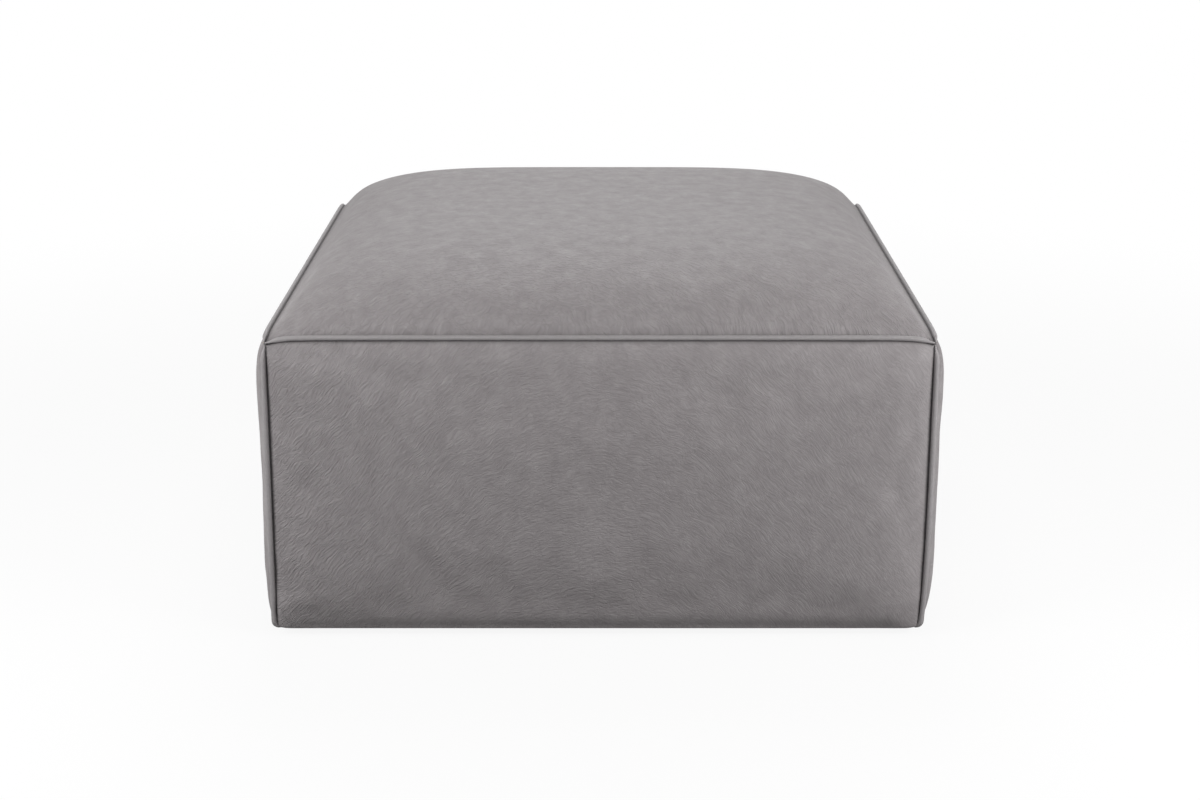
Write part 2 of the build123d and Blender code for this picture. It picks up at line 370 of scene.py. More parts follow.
@dataclass(frozen=True)
class Leather:
    """Pigmented cowhide, drummed soft: matte, with long fine creases over a tight pebble."""

    name: str = "pigmented_leather_drummed"
    slot: str = "cover_leather"
    colour: str = "#948f90"
    worn_colour: str = "#a19c9d"
    # The crease colour is painted shade, darker in the creases of the grain
    crease_colour: str = "#7c7778"
    # The seam colour and its share are painted shade along the seams
    edge_colour: str = "#201d1e"
    edge_share: float = 0.92
    crease_spacing: float = 2.7 * MM
    crease_length: float = 7.5 * MM
    crease_depth: float = 1.05 * MM
    crease_edge: float = 0.28
    crease_sway: tuple[float, float, float] = (0.022, 0.03, 0.0)
    cell_share: float = 0.2
    streak_share: float = 1.45
    pebble: float = 1.3 * MM
    pebble_depth: float = 0.1 * MM
    cloud: float = 21.0 * MM
    cloud_depth: float = 1.2 * MM
    roughness: float = 0.56
    roughness_swing: float = 0.05

    def material(self) -> Material:
        """Builds the leather: clouded colour, creases along the grain map and a fine pebble."""
        material, tree, shader = blank_material(self.name)
        add = partial(add_node, tree)
        place = add("ShaderNodeTexCoord").outputs["Object"]
        grain = add("ShaderNodeUVMap", uv_map="grain").outputs["UV"]
        # The hide takes its pigment unevenly, which the eye reads as soft clouds a thumb wide
        clouds = add("ShaderNodeTexNoise", {
            "Vector": place, "Scale": 1 / self.cloud, "Detail": 4.0, "Roughness": 0.6,
        }).outputs["Fac"]
        cloudy = {"Value": clouds, "From Min": 0.3, "From Max": 0.7}
        sway = add("ShaderNodeTexNoise", {
            "Vector": place, "Scale": 0.6 / self.cloud, "Detail": 2.0,
        }).outputs["Color"]
        sway = add("ShaderNodeVectorMath", {0: sway, 1: (0.5, 0.5, 0.5)}, operation="SUBTRACT").outputs[0]
        sway = add("ShaderNodeVectorMath", {0: sway, 1: self.crease_sway}, operation="MULTIPLY").outputs[0]
        swayed = add("ShaderNodeVectorMath", {0: grain, 1: sway}, operation="ADD").outputs[0]
        stretched = add("ShaderNodeVectorMath", {
            0: swayed, 1: (1 / self.crease_spacing, 1 / self.crease_length, 1.0),
        }, operation="MULTIPLY").outputs[0]
        # Drumming breaks the surface into long cells with a crease round each
        cells = add("ShaderNodeTexVoronoi", {
            "Vector": stretched, "Scale": 1.0,
        }, voronoi_dimensions="2D", feature="DISTANCE_TO_EDGE").outputs["Distance"]
        cells = add("ShaderNodeMapRange", {
            "Value": cells, "From Max": self.crease_edge,
        }, interpolation_type="SMOOTHSTEP").outputs["Result"]
        streaks = add("ShaderNodeTexNoise", {
            "Vector": stretched, "Scale": 0.8, "Detail": 3.0, "Roughness": 0.6,
        }, noise_dimensions="2D").outputs["Fac"]
        weave = add("ShaderNodeMath", {0: cells, 1: self.cell_share}, operation="MULTIPLY").outputs[0]
        weave = add("ShaderNodeMath", {
            0: streaks, 1: self.streak_share, 2: weave,
        }, operation="MULTIPLY_ADD").outputs[0]
        lively = add("ShaderNodeAttribute", attribute_name="lively").outputs["Fac"]
        creases = add("ShaderNodeMath", {0: weave, 1: lively}, operation="MULTIPLY").outputs[0]
        pebble = add("ShaderNodeTexVoronoi", {
            "Vector": place, "Scale": 1 / self.pebble,
        }).outputs["Distance"]
        normal = None
        for height, depth, strength in (
            (clouds, self.cloud_depth, 0.6),
            (creases, self.crease_depth, 1.0),
            (pebble, self.pebble_depth, 0.5),
        ):
            relief = {"Strength": strength, "Distance": depth, "Height": height}
            if normal is not None:
                relief["Normal"] = normal
            normal = add("ShaderNodeBump", relief).outputs["Normal"]
        tone = add("ShaderNodeMapRange", cloudy).outputs["Result"]
        # Painted shade: the creases are darker in colour too, where shade would fall in them
        crease_shade = add("ShaderNodeMapRange", {
            "Value": weave, "From Min": 0.55, "From Max": 1.2, "To Min": 0.4, "To Max": 0.0,
        }).outputs["Result"]
        rough = add("ShaderNodeMapRange", cloudy | {
            "To Min": self.roughness + self.roughness_swing, "To Max": self.roughness - self.roughness_swing,
        }).outputs["Result"]
        # Painted shade: the leather is darkened along its seams, where the welts shade it
        tucked = add("ShaderNodeAttribute", attribute_name="tucked").outputs["Fac"]
        tucked = add("ShaderNodeMath", {0: tucked, 1: self.edge_share}, operation="MULTIPLY").outputs[0]
        pigment = linear(self.colour)
        for share, colour in (
            (tone, self.worn_colour), (crease_shade, self.crease_colour), (tucked, self.edge_colour),
        ):
            pigment = add("ShaderNodeMix", {
                "Factor": share, 6: pigment, 7: linear(colour),
            }, data_type="RGBA").outputs[2]
        fill_inputs(tree, shader, {
            "Base Color": pigment, "Roughness": rough, "Normal": normal,
            "IOR": 1.45, "Specular IOR Level": 0.42,
        })
        return material


@dataclass(frozen=True)
class PipingLeather:
    """The same hide skived thin and wrapped round cord: tighter, with short cross creases."""

    name: str = "pigmented_leather_skived"
    slot: str = "piping_leather"
    colour: str = "#a6a2a3"
    # The crease colour is painted shade in the low places of the puckers
    crease_colour: str = "#949091"
    pucker: float = 3.2 * MM
    pucker_depth: float = 0.35 * MM

    def material(self) -> Material:
        """Builds the skived leather, whose creases are short and soft in every direction."""
        material, tree, shader = blank_material(self.name)
        add = partial(add_node, tree)
        place = add("ShaderNodeTexCoord").outputs["Object"]
        puckers = add("ShaderNodeTexNoise", {
            "Vector": place, "Scale": 1 / self.pucker, "Detail": 2.0, "Roughness": 0.5,
        }).outputs["Fac"]
        relief = {"Strength": 0.6, "Distance": self.pucker_depth, "Height": puckers}
        # Painted shade: the colour darkens where the puckers sink
        two_toned(tree, shader, puckers, (self.crease_colour, self.colour), relief, {
            "Roughness": 0.52, "IOR": 1.45, "Specular IOR Level": 0.45,
        })
        return material


@dataclass(frozen=True)
class Timber:
    """Planed pine: pale, with darker latewood lines along the grain."""

    grain: Grain
    slot: str = "timber"
    early_colour: str = "#d9b98a"
    late_colour: str = "#b98a55"
    ring: float = 5.0 * MM
    ring_depth: float = 0.15 * MM
    drawn_out: float = 40.0

    def material(self) -> Material:
        """Builds the pine with its grain drawn out along one axis."""
        material, tree, shader = blank_material(f"pine_planed_{self.grain.name.lower()}")
        add = partial(add_node, tree)
        place = add("ShaderNodeTexCoord").outputs["Object"]
        # A plank shows long lines because its grain changes forty times slower along the trunk
        stretch = [1 / self.ring] * 3
        stretch[self.grain.value] /= self.drawn_out
        drawn = add("ShaderNodeVectorMath", {0: place, 1: tuple(stretch)}, operation="MULTIPLY").outputs[0]
        rings = add("ShaderNodeTexNoise", {
            "Vector": drawn, "Scale": 0.7, "Detail": 4.0, "Roughness": 0.6, "Distortion": 0.6,
        }).outputs["Fac"]
        sharp = add("ShaderNodeMapRange", {
            "Value": rings, "From Min": 0.38, "From Max": 0.66,
        }, interpolation_type="SMOOTHSTEP").outputs["Result"]
        relief = {"Strength": 0.3, "Distance": self.ring_depth, "Height": sharp}
        two_toned(tree, shader, sharp, (self.early_colour, self.late_colour), relief, {
            "Roughness": 0.6, "IOR": 1.5,
        })
        return material


@dataclass(frozen=True)
class Speckled:
    """A matted or moulded material whose two colours mix in grains of one size."""

    name: str
    slot: str
    ground_colour: str
    fleck_colour: str
    grain_size: float
    relief: float
    roughness: float
    metallic: float = 0.0
    sheen: float = 0.0

    def material(self) -> Material:
        """Builds the material: two colours in grains, and the same grains as relief."""
        material, tree, shader = blank_material(self.name)
        add = partial(add_node, tree)
        place = add("ShaderNodeTexCoord").outputs["Object"]
        grains = add("ShaderNodeTexNoise", {
            "Vector": place, "Scale": 1 / self.grain_size, "Detail": 3.0, "Roughness": 0.65,
        }).outputs["Fac"]
        spread = add("ShaderNodeMapRange", {
            "Value": grains, "From Min": 0.35, "From Max": 0.65,
        }).outputs["Result"]
        relief = {"Strength": 0.7, "Distance": self.relief, "Height": grains}
        two_toned(tree, shader, spread, (self.ground_colour, self.fleck_colour), relief, {
            "Roughness": self.roughness, "Metallic": self.metallic, "Sheen Weight": self.sheen,
        })
        return material


@dataclass(frozen=True)
class Woven:
    """A cloth of crossing yarns, drawn as rows of small rounded floats."""

    name: str
    slot: str
    warp_colour: str
    weft_colour: str
    yarn: float
    relief: float
    roughness: float = 0.85

    def material(self) -> Material:
        """Builds the cloth from two sets of ridges that cross at right angles."""
        material, tree, shader = blank_material(self.name)
        add = partial(add_node, tree)
        place = add("ShaderNodeTexCoord").outputs["Object"]
        # A Wave texture repeats every pi / (10 x scale), so here one wave spans two yarns
        scale = 1 / (20 * self.yarn) * math.pi
        warp, weft = [
            add("ShaderNodeTexWave", {"Vector": place, "Scale": scale}, bands_direction=axis).outputs["Fac"]
            for axis in "XY"
        ]
        over = add("ShaderNodeMath", {0: warp, 1: weft}, operation="GREATER_THAN").outputs[0]
        height = add("ShaderNodeMath", {0: warp, 1: weft}, operation="MAXIMUM").outputs[0]
        relief = {"Strength": 0.8, "Distance": self.relief, "Height": height}
        colours = (self.weft_colour, self.warp_colour)
        two_toned(tree, shader, over, colours, relief, {"Roughness": self.roughness})
        return material


# Fibre from polyester staple is white and fluffy, so it has deep relief and some sheen
FIBRE = Speckled(
    "polyester_fibre_carded", "fibre", "#f1f0ea", "#dedcd3",
    grain_size=6.0 * MM, relief=1.5 * MM, roughness=0.95, sheen=0.3,
)
# Cut foam shows its open pores as a fine dark speckle on cream
FOAM = Speckled(
    "polyurethane_foam_cut", "foam", "#efe3b8", "#d8c68e",
    grain_size=1.5 * MM, relief=0.5 * MM, roughness=0.9,
)
# Needled felt from mixed rags is grey with coloured flecks
FELT = Speckled(
    "rag_felt_needled", "felt", "#7d7a76", "#5a5854",
    grain_size=2.5 * MM, relief=0.6 * MM, roughness=0.95,
)
# Pressed hardboard is brown with darker fibres and one smooth face
BOARD = Speckled(
    "hardboard_pressed", "board", "#8a6743", "#6d4f31",
    grain_size=1.2 * MM, relief=0.08 * MM, roughness=0.55,
)
# Twisted paper cord is off-white and dull
CORD = Speckled(
    "paper_cord_twisted", "cord", "#e6dfcf", "#cfc5ae",
    grain_size=1.0 * MM, relief=0.3 * MM, roughness=0.85,
)
# Injection-moulded polyethylene has a faint spark-eroded texture and a soft shine
GLIDE = Speckled(
    "polyethylene_moulded", "glide_plastic", "#2b2a29", "#353433",
    grain_size=0.8 * MM, relief=0.05 * MM, roughness=0.42,
)
# Zinc plating leaves a pale, slightly cloudy metal
ZINC = Speckled(
    "steel_zinc_plated", "nail_steel", "#c4c7c9", "#aeb2b5",
    grain_size=3.0 * MM, relief=0.03 * MM, roughness=0.35, metallic=1.0,
)
# Elastic webbing is woven from black and tan yarns
WEBBING = Woven(
    "elastic_webbing_woven", "webbing", "#2f2c29", "#a4865c",
    yarn=1.6 * MM, relief=0.4 * MM,
)
# Spun-bonded dust cloth is black with a fine bonded lattice
DUST_CLOTH = Woven(
    "polypropylene_spun_bonded", "dust_cloth", "#1d1d1e", "#262627",
    yarn=1.1 * MM, relief=0.15 * MM, roughness=0.9,
)


# Shared measures


@dataclass(frozen=True)
class Seams:
    """Where the seams of the cover run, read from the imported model."""

    reach: float
    seam_level: float
    hem_level: float
    piping_radius: float
    panel_inset: float
    leather: float = 1.4 * MM
    corner_lean: float = 7.0 * MM
    lean_height: float = 75.0 * MM
    corner_droop: float = 6.0 * MM
    droop_run: float = 13.0 * MM
    corner_flat: float = 5.0 * MM
    foot_round: float = 4.5 * MM
    foot_run: float = 4.0 * MM
    overlap: float = 1.2 * MM

    @classmethod
    def from_frame(cls) -> "Seams":
        """Reads the seam lines off the CAD nodes."""
        low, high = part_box("top_piping_front")
        panel_low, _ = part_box("top_panel")
        hem_low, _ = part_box("front_panel")
        reach = -(low.y + high.y) / 2
        return cls(
            reach=reach,
            seam_level=(low.z + high.z) / 2,
            hem_level=hem_low.z,
            piping_radius=(high.z - low.z) / 2,
            panel_inset=reach + panel_low.y,
        )

    def relaxed(self, points: np.ndarray, foot: bool = True) -> np.ndarray:
        """Lets the seams give as sewn leather does.

        The front right seam leans in towards the floor, the top seams droop at the corners, and
        each corner is rounded where it meets the foot.

        Args:
            points: Points of a soft piece, any shape that ends in three.
            foot: Whether the corners are rounded at the foot as well.

        Returns:
            The moved points.
        """
        moved = points.copy()
        x, y, z = (points[..., axis] for axis in range(3))
        right = np.clip(x / self.reach, 0, 1) ** 3
        front = np.clip(-y / self.reach, 0, 1) ** 3
        low = np.exp(-np.maximum(z, 0) / self.lean_height)
        moved[..., 0] = x - self.corner_lean * right * front * low
        gaps = [self.reach - np.minimum(np.abs(place), self.reach) for place in (x, y)]
        near_seam = np.exp(-np.abs(z - self.seam_level) / self.lean_height)
        beyond = np.maximum(np.hypot(*gaps) - self.corner_flat, 0)
        moved[..., 2] = z - self.corner_droop * np.exp(-beyond / self.droop_run) * near_seam
        under = foot * (1 - np.clip((z - self.hem_level) / self.foot_round, 0, 1))
        turned = self.foot_round * (1 - np.sqrt(1 - under**2)) * np.exp(-beyond / self.foot_run)
        moved[..., 0] -= np.sign(x) * turned
        moved[..., 1] -= np.sign(y) * turned
        return moved


# Cover


# The leather is cut a little full, as the negative shrink says, so that it gathers against its seams
CLOTH_SETTINGS = {
    "quality": 6,
    "mass": 0.4,
    "tension_stiffness": 30,
    "compression_stiffness": 30,
    "shear_stiffness": 12,
    "bending_stiffness": 1.5,
    "pin_stiffness": 1.0,
    "shrink_min": -0.018,
    "use_pressure": True,
    "uniform_pressure_force": 4.0,
}


@dataclass
class LeatherPanel:
    """One panel of the cover as a grid of points on its outer face."""

    name: str
    node: str
    points: np.ndarray
    grain: np.ndarray
    lively: np.ndarray
    # How strongly the painted seam shade darkens each point
    tucked: np.ndarray
    held: np.ndarray
    face: tuple[slice, slice]

    def simulated_object(self) -> Object:
        """Makes the object that the cloth simulation runs on, held round its seams."""
        mesh = grid_mesh(f"{self.name}_cloth", self.points)
        cloth = link_object(mesh.name, mesh)
        group = cloth.vertex_groups.new(name="seams")
        group.add([int(i) for i in np.flatnonzero(self.held.reshape(-1))], 1.0, "REPLACE")
        modifier = cloth.modifiers.new("Cloth", "CLOTH")
        settings = modifier.settings
        for name, value in CLOTH_SETTINGS.items():
            setattr(settings, name, value)
        settings.vertex_group_mass = group.name
        settings.effector_weights.gravity = 0.0
        modifier.collision_settings.use_collision = False
        return cloth

    def take_gathers(self, cloth: Object, cap: float) -> None:
        """Adds the fine gathers of the simulated cloth to the panel, without its broad swelling.

        Args:
            cloth: The object after its last simulated frame.
            cap: The furthest that a point may move.
        """
        solved = bpy.data.meshes.new_from_object(cloth.evaluated_get(bpy.context.evaluated_depsgraph_get()))
        found = np.zeros(len(solved.vertices) * 3)
        solved.vertices.foreach_get("co", found)
        bpy.data.meshes.remove(solved)
        normals = grid_normals(self.points)
        swell = ((found.reshape(self.points.shape) - self.points) * normals).sum(axis=2)
        gathers = softened(swell, 1) - softened(swell, 7)
        free = softened((~self.held).astype(float), 2) * ~self.held
        self.points = self.points + normals * (np.clip(gathers, -cap, cap) * free)[..., None]

    def build(self, finish: Leather, material: Material, leather: float) -> Object:
        """Makes the panel: a fine skin with its thickness turned inwards.

        Args:
            finish: The leather's finish.
            material: Its material.
            leather: The thickness of the hide.

        Returns:
            The finished object.
        """
        mesh = grid_mesh(self.name, self.points)
        layer = mesh.uv_layers.new(name="grain")
        corners = np.zeros(len(mesh.loops), dtype=np.int32)
        mesh.loops.foreach_get("vertex_index", corners)
        layer.data.foreach_set("uv", self.grain.reshape(-1, 2)[corners].astype(np.float32).reshape(-1))
        for label, values in (("lively", self.lively), ("tucked", self.tucked)):
            layer = mesh.attributes.new(label, "FLOAT", "POINT")
            layer.data.foreach_set("value", values.reshape(-1).astype(np.float32))
        piece = place_object(self.name, mesh, material)
        smooth = piece.modifiers.new("Subdivision", "SUBSURF")
        smooth.levels = smooth.render_levels = 1
        skin = piece.modifiers.new("Solidify", "SOLIDIFY")
        skin.thickness = leather
        skin.offset = -1.0
        report_piece(piece, finish.slot, self.node)
        return piece


@dataclass
class Cover:
    """The five leather panels, puffed over their padding and gathered at their seams."""

    seams: Seams
    leather: Leather = field(default_factory=Leather)
    crown: float = 82.0 * MM
    crown_power: float = 4.69
    crown_fullness: float = 0.58
    side_slope: float = 1.3
    side_ledge: float = 4.0 * MM
    side_sharpness: float = 8.0
    least_rise: float = 0.001 * MM
    puff: float = 13.5 * MM
    drawn_puff: float = 11.8 * MM
    belly: float = 6.0 * MM
    belly_middle: float = 0.12
    shoulder: float = 11.0 * MM
    foot_shoulder: float = 9.0 * MM
    rings: tuple[float, ...] = (0.9 * MM, 2.0 * MM, 3.4 * MM, 5.2 * MM)
    groove: float = 3.0 * MM
    top_groove: float = 1.5 * MM
    groove_run: float = 1.4 * MM
    drawn_groove: float = 8.6 * MM
    drawn_run: float = 4.5 * MM
    tuck: float = 2.0 * MM
    hem_width: float = 30.0 * MM
    hem_steps: tuple[float, ...] = (1.0, 0.66, 0.33, 0.06)
    top_steps: int = 110
    top_grading: float = 0.5
    side_steps: tuple[int, int] = (100, 48)
    side_grading: float = 0.35
    # How far the painted seam shade reaches from each seam, and how strong it is along the level seams of the
    # top
    tuck_run: float = 1.7 * MM
    drawn_tuck_run: float = 8.6 * MM
    side_tuck_run: float = 4.0 * MM
    level_tuck_share: float = 0.4
    allowance_steepness: float = 3.0
    grain_slope: float = 1.1
    grain_wave: float = 1.5
    grain_skew: tuple[float, float] = (0.25, -0.3)
    grain_offset: float = 3.0
    top_liveliness: tuple[float, float, float] = (0.4, 0.35, 0.35)
    side_liveliness: tuple[float, float, float] = (0.44, 0.2, 0.15)
    side_tilt: tuple[float, float] = (1.05, 0.75)
    gather_cap: float = 3.0 * MM
    frames: int = 20
    panels: dict[str, LeatherPanel] = field(default_factory=dict)

    def top_level(self, x: np.ndarray, y: np.ndarray) -> np.ndarray:
        """The level of the crowned top over places in plan."""
        half = self.seams.reach - self.seams.panel_inset
        fall = [1 - np.abs(place / half) ** self.crown_power for place in (x, y)]
        full = self.crown * np.maximum(fall[0] * fall[1], 0) ** self.crown_fullness
        # The side seams are drawn down, so the crown starts there with a ledge and an even slope
        gap = np.maximum(half - np.abs(x), 0)
        ledge = self.side_ledge * (1 - np.exp(-gap / self.side_ledge))
        drawn = self.side_slope * (gap - ledge)
        low, sharp = self.least_rise, self.side_sharpness
        rise = (np.maximum(full, low) ** -sharp + np.maximum(drawn, low) ** -sharp) ** (-1 / sharp)
        return self.seams.seam_level + self.seams.leather + rise

    def fold(self, across: np.ndarray) -> np.ndarray:
        """How far the grain has dropped at each place, as it falls from the middle to both sides."""
        wave = self.grain_wave * (self.seams.reach - self.seams.panel_inset) / math.pi
        return -self.grain_slope * wave * np.cos(across / wave)

    def lay_top(self) -> LeatherPanel:
        """Lays out the crowned top between its four seams."""
        seams = self.seams
        half = seams.reach - seams.panel_inset + seams.overlap
        steps = seamed(graded(self.top_steps, self.top_grading), half, self.rings)
        u, v = np.meshgrid(steps, steps)
        points = np.stack([half * u, half * v, self.top_level(half * u, half * v)], axis=2)
        gap = half * (1 - np.maximum(np.abs(u), np.abs(v)))
        points[..., 2] -= self.top_groove * np.exp(-gap / self.groove_run)
        edge = np.zeros(u.shape, dtype=bool)
        edge[0, :] = edge[-1, :] = edge[:, 0] = edge[:, -1] = True
        points[edge, 2] -= self.tuck
        held = edge.copy()
        held[1, :] = held[-2, :] = held[:, 1] = held[:, -2] = True
        x, y = points[..., 0], points[..., 1]
        skew = self.grain_skew
        grain = np.stack([y + 0.5 * self.fold(x) + skew[0] * x, x + skew[1] * y], axis=2)
        near_edge = np.maximum(np.abs(u), np.abs(v))
        towards_back = np.clip((y + half) / (2 * half), 0, 1)
        least, edge_gain, front_gain = self.top_liveliness
        lively = least + edge_gain * near_edge**4 + front_gain * (1 - towards_back)
        # Painted shade along the seams, widest at the left and right seams of the top
        tucked = np.maximum(
            np.exp(-((half * (1 - np.abs(u)) / self.side_tuck_run) ** 2)),
            self.level_tuck_share * np.exp(-((half * (1 - np.abs(v)) / self.tuck_run) ** 2)),
        )
        inside = (slice(1, -1), slice(1, -1))
        points = seams.relaxed(points)
        return LeatherPanel("top_leather", "top_panel", points, grain, lively, tucked, held, inside)

    def bulge(
        self,
        across: np.ndarray,
        up: np.ndarray,
        half_width: float,
        half_height: float,
        puff: float,
    ) -> np.ndarray:
        """How far a side stands proud of its seams.

        Args:
            across: Distance from the upright middle line.
            up: Distance from the level middle line.
            half_width: Half the width between the seams.
            half_height: Half the height between the seams.
            puff: How far it stands proud just past its shoulders.

        Returns:
            The bulge, nothing at the seams.
        """
        gaps = (half_width - np.abs(across), half_height - up, half_height + up)
        runs = (self.shoulder, self.shoulder, self.foot_shoulder)
        shoulders = math.prod(1 - np.exp(-np.maximum(gap, 0) / run) for gap, run in zip(gaps, runs))
        # The padding settles a little above the middle, so the broad swell is fullest there
        height = up / half_height - self.belly_middle * (1 - (up / half_height) ** 2)
        broad = (1 - (across / half_width) ** 2) * (1 - height**2)
        return puff * shoulders + self.belly * broad

    def lay_side(self, side: Side) -> LeatherPanel:
        """Lays out one side from the inner edge of its hem, round the foot and up to the seam."""
        seams = self.seams
        half_width = seams.reach - seams.panel_inset + seams.overlap
        top = seams.seam_level - seams.panel_inset + seams.overlap
        middle, half_height = (top + seams.hem_level) / 2, (top - seams.hem_level) / 2
        columns = seamed(graded(self.side_steps[0], self.side_grading), half_width, self.rings)
        rows = seamed(graded(self.side_steps[1], self.side_grading), half_height, self.rings)[1:]
        u, w = np.meshgrid(columns, rows)
        across, up = half_width * u, half_height * w
        # The left and right sides are drawn deeper into their upright seams
        drawn = side.value[0] != 0
        puff = self.drawn_puff if drawn else self.puff
        if drawn:
            side_groove, side_run = self.drawn_groove, self.drawn_run
            side_seam_shade, sharpness = self.drawn_tuck_run, 4
        else:
            side_groove, side_run = self.groove, self.groove_run
            side_seam_shade, sharpness = self.tuck_run, 2
        out = seams.reach + seams.leather + self.bulge(across, up, half_width, half_height, puff)
        level_gap, side_gap = half_height - up, half_width - np.abs(across)
        out -= np.maximum(
            self.groove * np.exp(-level_gap / self.groove_run),
            side_groove * np.exp(-side_gap / side_run),
        )
        out[-1, :] -= self.tuck
        out[:, 0] -= self.tuck
        out[:, -1] -= self.tuck
        if drawn:
            # Their seam allowance turns out again into the welt, and closes the seam to the light
            above_foot = (half_height + up[:, 0]) / self.shoulder
            below_top = self.allowance_steepness * (half_height - up[:, 0]) / self.shoulder
            share = (1 - np.exp(-above_foot)) * (1 - np.exp(-below_top))
            for column, sign in ((0, -1), (-1, 1)):
                out[:, column] += share * (seams.reach - out[:, column])
                across[:, column] += share * (sign * seams.reach - across[:, column])
        hem_in = np.array(self.hem_steps) * self.hem_width
        hem_across = np.outer(half_width - hem_in, columns)
        hem_out = np.repeat((seams.reach + seams.leather - hem_in)[:, None], len(columns), axis=1)
        hem_out -= side_groove * np.exp(-half_width * (1 - np.abs(columns)) / side_run)
        hem_out[:, 0] -= self.tuck
        hem_out[:, -1] -= self.tuck
        across = np.concatenate([hem_across, across])
        out = np.concatenate([hem_out, out])
        level = np.concatenate([np.full(hem_across.shape, seams.hem_level), middle + up])
        points = across[..., None] * side.across + out[..., None] * side.outward
        points[..., 2] = level
        held = np.zeros(across.shape, dtype=bool)
        hem_rows = len(hem_in)
        held[: hem_rows + 1, :] = held[-2:, :] = True
        held[:, :2] = held[:, -2:] = True
        offset = self.grain_offset * list(Side).index(side)
        grain = np.stack([level + self.fold(across) + offset, across], axis=2)
        near_side = np.clip(np.abs(across) / half_width, 0, 1)
        low = np.clip((top - level) / (top - seams.hem_level), 0, 1)
        # The hide is drummed harder towards one side, so its creases are deeper there
        least, side_gain, low_gain = self.side_liveliness
        tilt = self.side_tilt[0] - self.side_tilt[1] * across / half_width
        lively = (least + side_gain * near_side**2 + low_gain * low**2) * tilt
        # Painted shade along the top seam and the upright seams, wider on the left and right sides
        level_share = (top - level) / self.tuck_run
        side_share = (half_width - np.abs(across)) / side_seam_shade
        tucked = np.maximum(np.exp(-(level_share**2)), np.exp(-(side_share**sharpness)))
        inside = (slice(hem_rows, -1), slice(1, -1))
        name, node = f"{side.label}_leather", f"{side.label}_panel"
        return LeatherPanel(name, node, seams.relaxed(points), grain, lively, tucked, held, inside)

    def gather(self) -> None:
        """Runs one short cloth simulation on all the panels and keeps their gathers."""
        scene = bpy.context.scene
        cloths = {name: panel.simulated_object() for name, panel in self.panels.items()}
        for frame_number in range(1, self.frames + 1):
            scene.frame_set(frame_number)
        for name, cloth in cloths.items():
            self.panels[name].take_gathers(cloth, self.gather_cap)
        for cloth in cloths.values():
            mesh = cloth.data
            bpy.data.objects.remove(cloth)
            bpy.data.meshes.remove(mesh)
        scene.frame_set(1)

    def build(self) -> None:
        """Lays out, gathers and dresses every panel."""
        top = self.lay_top()
        self.panels[top.name] = top
        for side in Side:
            panel = self.lay_side(side)
            self.panels[panel.name] = panel
        self.gather()
        material = self.leather.material()
        for panel in self.panels.values():
            panel.build(self.leather, material, self.seams.leather)


# Runs along a path, made by Geometry Nodes


def path_object(name: str, paths: list[np.ndarray]) -> Object:
    """Makes an object of bare edges, one open line for each path."""
    points = np.concatenate(paths)
    edges, start = [], 0
    for path in paths:
        edges += [(start + i, start + i + 1) for i in range(len(path) - 1)]
        start += len(path)
    mesh = bpy.data.meshes.new(name)
    mesh.from_pydata(points.tolist(), edges, [])
    mesh.update()
    return link_object(name, mesh)


def node_group(name: str, inputs: dict[str, tuple[str, ...]]) -> NodeTree:
    """Starts a Geometry Nodes tree.

    Args:
        name: The tree's name.
        inputs: The names of its inputs under each kind of socket.

    Returns:
        The tree, with a geometry input and output as well.
    """
    tree = bpy.data.node_groups.new(name, "GeometryNodeTree")
    tree.interface.new_socket("Geometry", in_out="INPUT", socket_type="NodeSocketGeometry")
    for kind, labels in inputs.items():
        for label in labels:
            tree.interface.new_socket(label, in_out="INPUT", socket_type=f"NodeSocket{kind}")
    tree.interface.new_socket("Geometry", in_out="OUTPUT", socket_type="NodeSocketGeometry")
    return tree


def stepped_curve(tree: NodeTree, given: Any) -> NodeSocket:
    """The paths that a tree is given, as curves with points at its step."""
    curve = add_node(tree, "GeometryNodeMeshToCurve", {"Mesh": given["Geometry"]}).outputs["Curve"]
    return add_node(tree, "GeometryNodeResampleCurve", {
        "Curve": curve, "Length": given["Step"],
    }, mode="LENGTH").outputs["Curve"]


def end_tree(tree: NodeTree, mesh: NodeSocket, material: NodeSocket) -> None:
    """Ends a Geometry Nodes tree, whose runs become one plain mesh with its material."""
    add = partial(add_node, tree)
    mesh = add("GeometryNodeRealizeInstances", {"Geometry": mesh}).outputs["Geometry"]
    mesh = add("GeometryNodeSetMaterial", {"Geometry": mesh, "Material": material}).outputs["Geometry"]
    add("NodeGroupOutput", {"Geometry": mesh})


def grow(piece: Object, tree: NodeTree, values: dict[str, Any]) -> Mesh:
    """Runs a tree on an object and gives the plain mesh that it makes.

    Args:
        piece: The object that carries the paths.
        tree: The Geometry Nodes tree.
        values: A value for each named input.

    Returns:
        The made mesh. The object and its modifier are gone.
    """
    modifier = piece.modifiers.new(tree.name, "NODES")
    modifier.node_group = tree
    inputs = [item for item in tree.interface.items_tree if item.in_out == "INPUT"]
    identifiers = {item.name: item.identifier for item in inputs}
    for label, value in values.items():
        modifier[identifiers[label]] = value
    bpy.context.view_layer.update()
    made = bpy.data.meshes.new_from_object(piece.evaluated_get(bpy.context.evaluated_depsgraph_get()))
    source = piece.data
    bpy.data.objects.remove(piece)
    bpy.data.meshes.remove(source)
    return made


